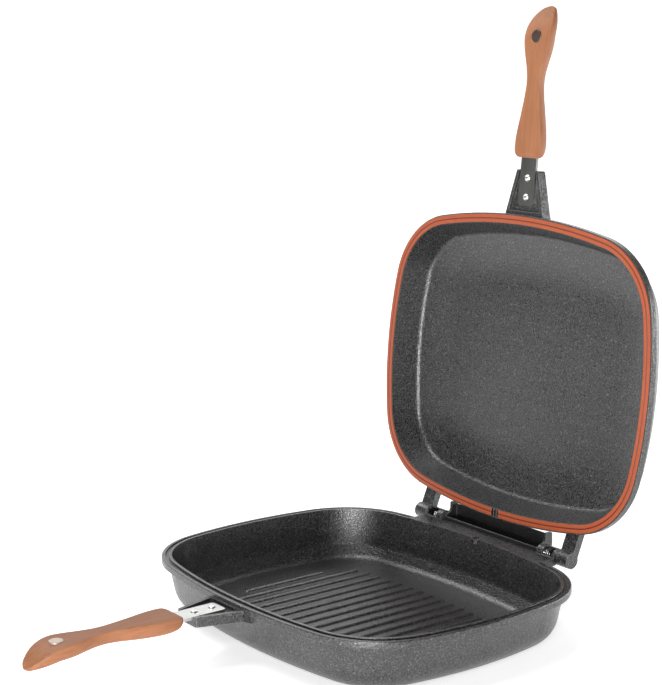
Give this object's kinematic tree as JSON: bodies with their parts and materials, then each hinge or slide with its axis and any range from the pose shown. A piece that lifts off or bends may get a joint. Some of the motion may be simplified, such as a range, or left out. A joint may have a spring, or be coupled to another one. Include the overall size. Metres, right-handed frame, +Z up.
{
  "type": "double sided flip pan",
  "caption": "Rounded rectangular flip pan: deep ribbed base pan and shallower lid pan on a back hinge, a seal in the lid rim, a drip tray behind and a waisted grip on the front of each pan.",
  "frame": {"origin": "centre of the lower pan's flat base", "axes": "+X along the hinge to the right as seen from the handles, +Y from the handles to the hinge, +Z up"},
  "size_m": [0.36, 0.5665, 0.5492],
  "materials": {
    "coated_casting": "cast aluminium with a finely speckled charcoal non-stick coating",
    "tray": "smooth black coating",
    "seal": "orange-red silicone, satin",
    "strap_steel": "satin stainless steel",
    "bright_steel": "polished steel",
    "dark_steel": "dark oiled steel",
    "grip": "copper-brown moulding with a faint lengthwise wood grain",
    "magnet": "plated magnet disc"
  },
  "bodies": {
    "lower": {"lower_pan": "coated_casting", "drip_tray": "tray", "drip_tray_screws": "bright_steel", "right_pin_spring": "bright_steel", "left_pin_spring": "bright_steel", "right_spring_plug": "coated_casting", "left_spring_plug": "coated_casting", "lower_strap": "strap_steel", "lower_rivets": "bright_steel", "lower_grip": "grip", "lower_magnet": "magnet", "lower_grip_screw": "bright_steel"},
    "lid": {"upper_pan": "coated_casting", "gasket": "seal", "upper_strap": "strap_steel", "upper_rivets": "bright_steel", "upper_grip": "grip", "upper_magnet": "magnet", "upper_grip_screw": "bright_steel"},
    "right_pin": {"right_hinge_pin": "dark_steel", "right_thumb_stud": "dark_steel"},
    "left_pin": {"left_hinge_pin": "dark_steel", "left_thumb_stud": "dark_steel"}
  },
  "joints": [
    {"name": "lid_hinge", "type": "hinge", "parent": "lower", "child": "lid", "pos_m": [0, 0.1612, 0.0509], "axis": [1, 0, 0], "range_deg": [0, 95]},
    {"name": "right_pin_slide", "type": "slide", "parent": "lower", "child": "right_pin", "axis": [-1, 0, 0], "range_m": [0, 0.007], "stiffness_N_per_m": 600, "springref_m": -0.006, "deforming": ["right_pin_spring"]},
    {"name": "left_pin_slide", "type": "slide", "parent": "lower", "child": "left_pin", "axis": [1, 0, 0], "range_m": [0, 0.007], "stiffness_N_per_m": 600, "springref_m": -0.006, "deforming": ["left_pin_spring"]}
  ]
}
